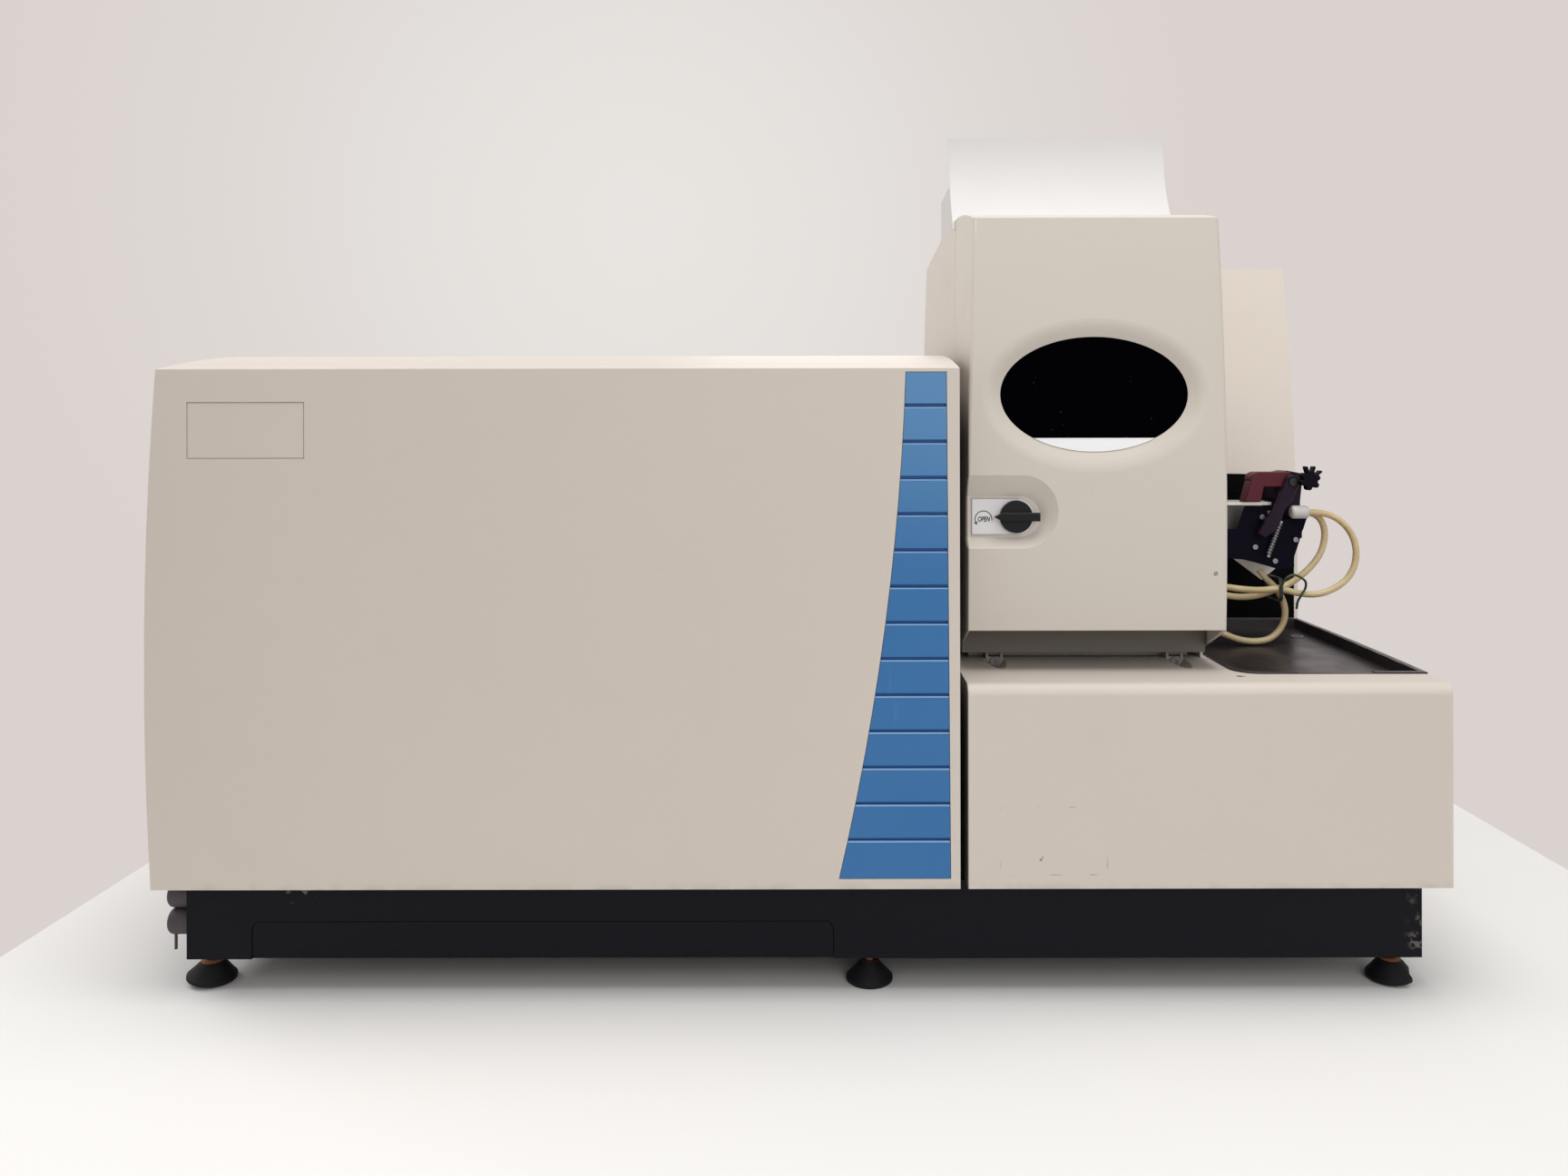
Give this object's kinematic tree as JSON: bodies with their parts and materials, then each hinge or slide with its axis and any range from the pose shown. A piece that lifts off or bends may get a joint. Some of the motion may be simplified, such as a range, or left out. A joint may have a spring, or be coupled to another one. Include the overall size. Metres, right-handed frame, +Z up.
{
  "type": "mass spectrometer",
  "caption": "Bench plasma mass spectrometer: crowned cabinet on a black plinth, tilting torch-box door with oval window, exhaust flue and a peristaltic pump over a spill tray.",
  "frame": {"origin": "on the bench, under the middle of the cabinet", "axes": "+X right along the cabinet seen from the front, +Y to the back, +Z up"},
  "size_m": [1.428, 0.65, 1.002],
  "materials": {
    "plinth_black": "satin black powder coat",
    "foot_rubber": "matte rubber",
    "foot_brass": "worn coppered brass",
    "cap_grey": "matte grey",
    "frame_steel": "grey chassis paint",
    "cabinet_beige": "fine textured beige paint",
    "door_beige": "moulded, painted beige",
    "strip_blue": "satin blue",
    "tray_black": "gloss black",
    "drain_grey": "satin grey",
    "white_sheet": "white painted sheet",
    "liner_metal": "beige painted sheet",
    "window_glass": "dark tinted glass",
    "label_white": "white plate",
    "knob_black": "satin black",
    "steel": "bright steel",
    "bay_black": "satin black",
    "pump_black": "blue-black anodised",
    "pump_pale": "plain aluminium",
    "pump_maroon": "maroon anodised",
    "pump_purple": "dark purple anodised",
    "collar_white": "white",
    "hose_yellow": "yellowed soft tubing",
    "tie_green": "dark green coating",
    "chamber_alu": "machined aluminium",
    "turbo_grey": "grey",
    "cone_nickel": "nickel",
    "ceramic": "white ceramic",
    "quartz": "clear quartz",
    "copper": "bare copper",
    "unit_grey": "grey unit case",
    "fan_black": "black"
  },
  "bodies": {
    "instrument": {"plinth": "plinth_black", "plinth_access_panel": "plinth_black", "foot_pads": "foot_rubber", "foot_studs": "foot_brass", "side_caps": "cap_grey", "chassis_frame": "frame_steel", "left_front_panel": "cabinet_beige", "accent_strip": "strip_blue", "left_top_cover": "cabinet_beige", "left_side_covers": "cabinet_beige", "left_rear_cover": "cabinet_beige", "right_base_cover": "cabinet_beige", "spill_tray": "tray_black", "tray_drain": "drain_grey", "torch_box_cover": "cabinet_beige", "torch_box_liner": "liner_metal", "exhaust_duct": "white_sheet", "chimney_deflector": "white_sheet", "latch_keeper": "steel", "hinge_brackets": "white_sheet", "hinge_pins": "steel", "tower_cover": "cabinet_beige", "sample_bay_panel": "bay_black", "pump_drive": "pump_black", "pump_back_plate": "pump_pale", "pump_front_plate": "pump_black", "pump_bracket": "pump_purple", "pump_spring": "steel", "pump_screws": "steel", "tube_collar": "collar_white", "hose_outer": "hose_yellow", "hose_inner": "hose_yellow", "hose_lower": "hose_yellow", "hose_ports": "collar_white", "wire_tie": "tie_green", "vacuum_chamber": "chamber_alu", "turbo_pumps": "turbo_grey", "interface_housing": "chamber_alu", "interface_cones": "cone_nickel", "quadrupole_rods": "steel", "rod_holders": "ceramic", "lens_stack": "steel", "ion_detector": "unit_grey", "plasma_torch": "quartz", "load_coil": "copper", "spray_chamber": "quartz", "rf_generator": "unit_grey", "fan_frame": "fan_black"},
    "door": {"torch_door": "door_beige", "window_glass": "window_glass", "window_sill": "label_white", "latch_plate": "label_white", "door_hinge_arms": "white_sheet"},
    "latch": {"latch_knob": "knob_black", "latch_bar": "steel"},
    "rotor": {"pump_rotor": "steel"},
    "pressure_bar": {"pump_pressure_bar": "pump_maroon"},
    "lever": {"pump_lever": "pump_purple"},
    "tension_knob": {"pump_tension_knob": "knob_black"},
    "fan": {"fan_rotor": "fan_black"}
  },
  "joints": [
    {"name": "door_tilt", "type": "hinge", "parent": "instrument", "child": "door", "pos_m": [0.327, -0.171, 0.353], "axis": [1, 0, 0], "range_deg": [0, 28]},
    {"name": "latch_turn", "type": "hinge", "parent": "door", "child": "latch", "pos_m": [0.237, -0.25, 0.517], "axis": [0, 1, 0], "range_deg": [0, 90]},
    {"name": "pump_spin", "type": "hinge", "parent": "instrument", "child": "rotor", "pos_m": [0.61, 0, 0.468], "axis": [0, 1, 0], "continuous": true},
    {"name": "bar_lift", "type": "hinge", "parent": "instrument", "child": "pressure_bar", "pos_m": [0.6348, -0.02, 0.5473], "axis": [0, 1, 0], "range_deg": [0, 45]},
    {"name": "lever_swing", "type": "hinge", "parent": "instrument", "child": "lever", "pos_m": [0.6348, -0.04, 0.5473], "axis": [0, 1, 0], "range_deg": [0, 50]},
    {"name": "tension_knob_turn", "type": "hinge", "parent": "instrument", "child": "tension_knob", "pos_m": [0.6528, -0.04, 0.5497], "axis": [0, 1, 0], "continuous": true},
    {"name": "fan_spin", "type": "hinge", "parent": "instrument", "child": "fan", "pos_m": [-0.42, 0.3, 0.33], "axis": [0, 1, 0], "continuous": true}
  ]
}
